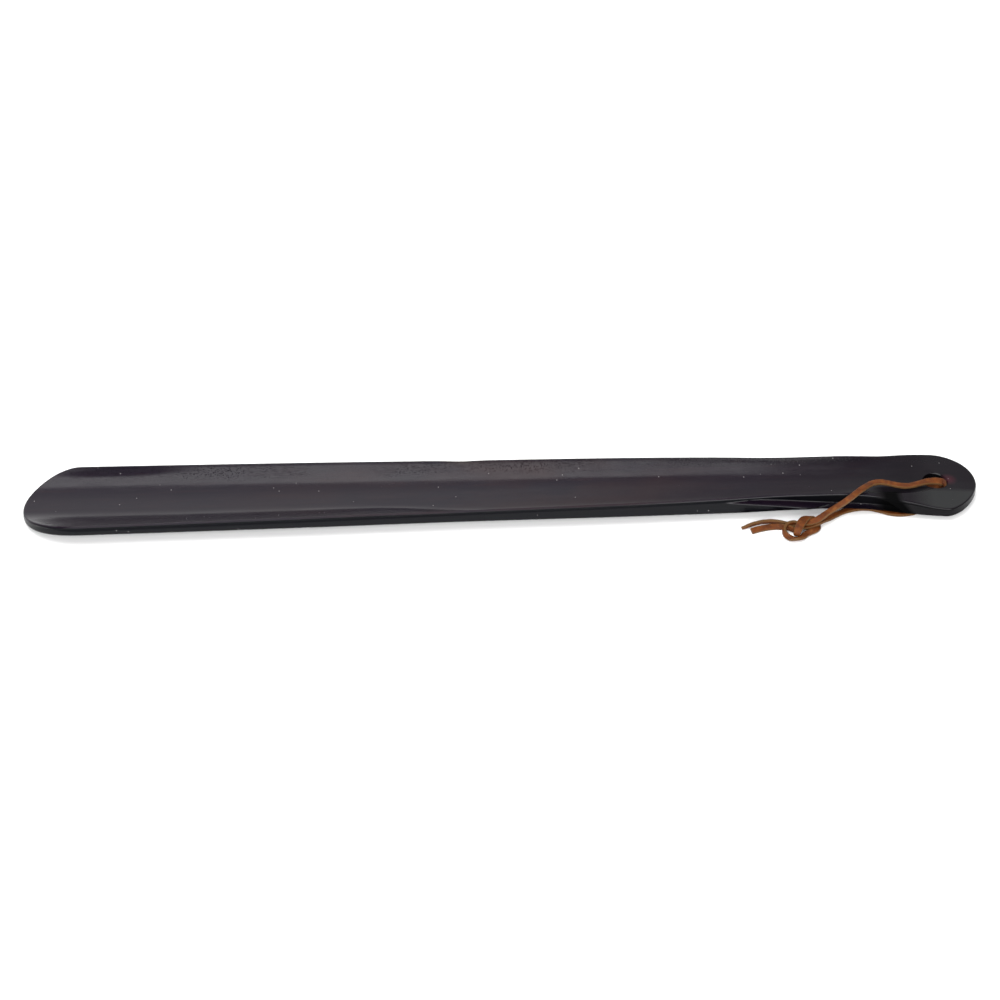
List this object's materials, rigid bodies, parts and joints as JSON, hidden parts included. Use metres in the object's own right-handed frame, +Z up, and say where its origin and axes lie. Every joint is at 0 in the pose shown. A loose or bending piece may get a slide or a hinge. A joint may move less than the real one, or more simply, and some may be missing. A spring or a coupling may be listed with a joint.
{
  "type": "long shoehorn",
  "caption": "Long hand-carved wooden shoehorn with a gouged trough, a rounded hanging head and a knotted leather thong through its hole.",
  "frame": {"origin": "middle of the shoehorn's length and width, on the surface that it rests on", "axes": "+X along the shoehorn towards the head with the hanging hole, +Y across it towards the side away from the thong's knot, +Z up out of the open trough"},
  "size_m": [0.39, 0.0513, 0.0136],
  "materials": {
    "lacquered_wood": "near-black stain under gloss lacquer",
    "tan_leather": "matt tan leather with paler suede cut edges"
  },
  "bodies": {
    "shoehorn": {"shoehorn_body": "lacquered_wood"},
    "thong": {"thong_upper_leg": "tan_leather", "thong_lower_leg": "tan_leather", "thong_knot": "tan_leather", "thong_tail_far": "tan_leather", "thong_tail_near": "tan_leather"}
  },
  "joints": [
    {"name": "thong_swing", "type": "hinge", "parent": "shoehorn", "child": "thong", "pos_m": [0.1778, 0, 0.0048], "axis": [0, 0, 1], "range_deg": [0, 150]}
  ]
}
